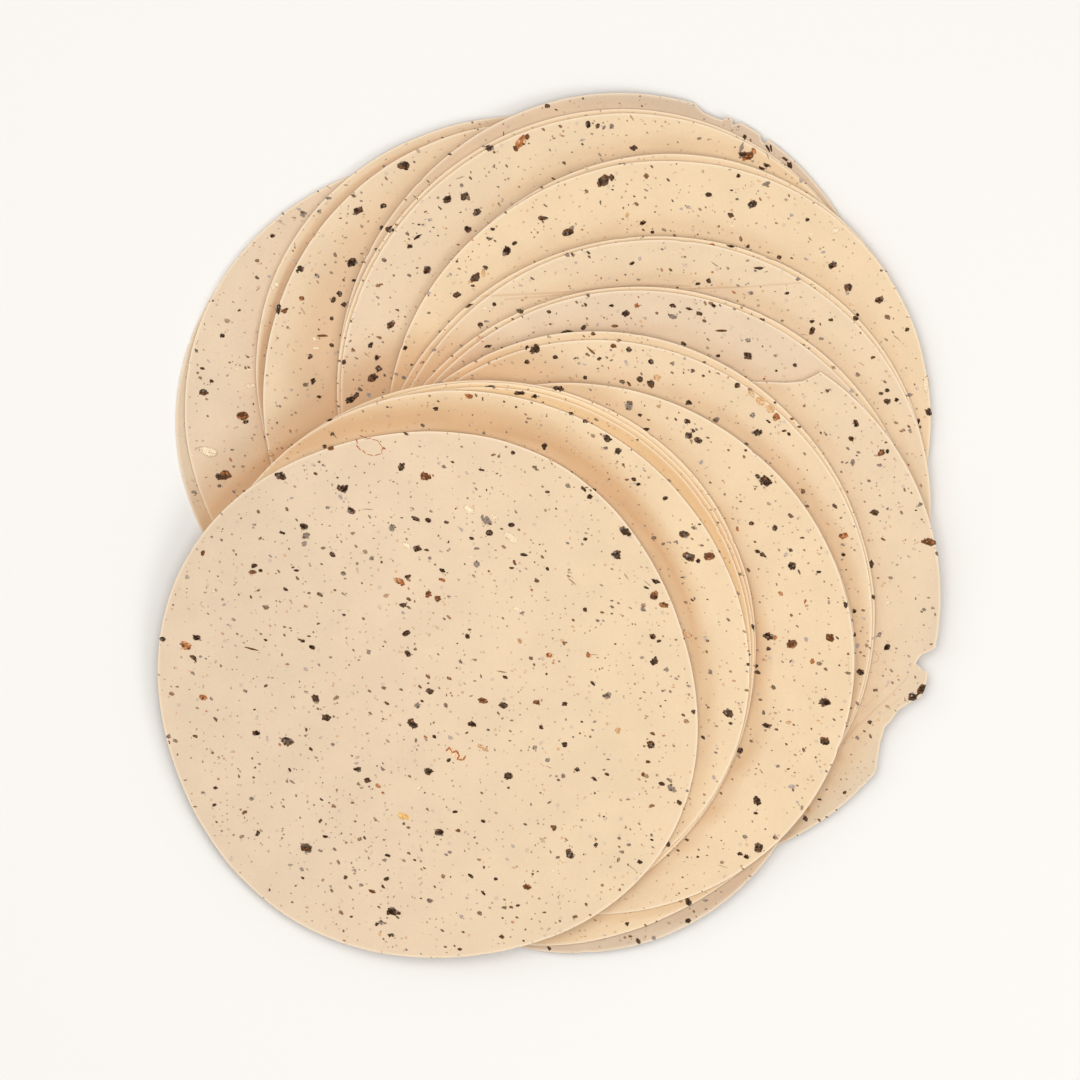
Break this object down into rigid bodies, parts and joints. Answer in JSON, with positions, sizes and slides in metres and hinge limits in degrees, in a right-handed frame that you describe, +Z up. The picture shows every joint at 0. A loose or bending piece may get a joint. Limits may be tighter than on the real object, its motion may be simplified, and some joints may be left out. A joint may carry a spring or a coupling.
{
  "type": "stack of black pepper papadums",
  "caption": "Fanned spiral stack of thin round raw papadums with cracked black pepper, lying flat on a table.",
  "frame": {"origin": "on the table, under the middle of the stack's bounding box", "axes": "+Z up, +Y away from the viewer who looks down on the stack, +X to the right"},
  "size_m": [0.2499, 0.2765, 0.0243],
  "materials": {
    "dough": "matte dry cream lentil dough with cracked black pepper"
  },
  "bodies": {
    "root": {"papadum_01": "dough", "papadum_02": "dough", "papadum_03": "dough", "papadum_04": "dough", "papadum_05": "dough", "papadum_06": "dough", "papadum_07": "dough", "papadum_08": "dough", "papadum_09": "dough", "papadum_10": "dough", "papadum_11": "dough", "papadum_12": "dough", "papadum_13": "dough", "papadum_14": "dough", "papadum_15": "dough", "papadum_16": "dough", "papadum_17": "dough", "papadum_18": "dough", "papadum_19": "dough", "papadum_20": "dough", "papadum_21": "dough", "papadum_22": "dough", "papadum_23": "dough", "papadum_24": "dough"}
  },
  "joints": []
}
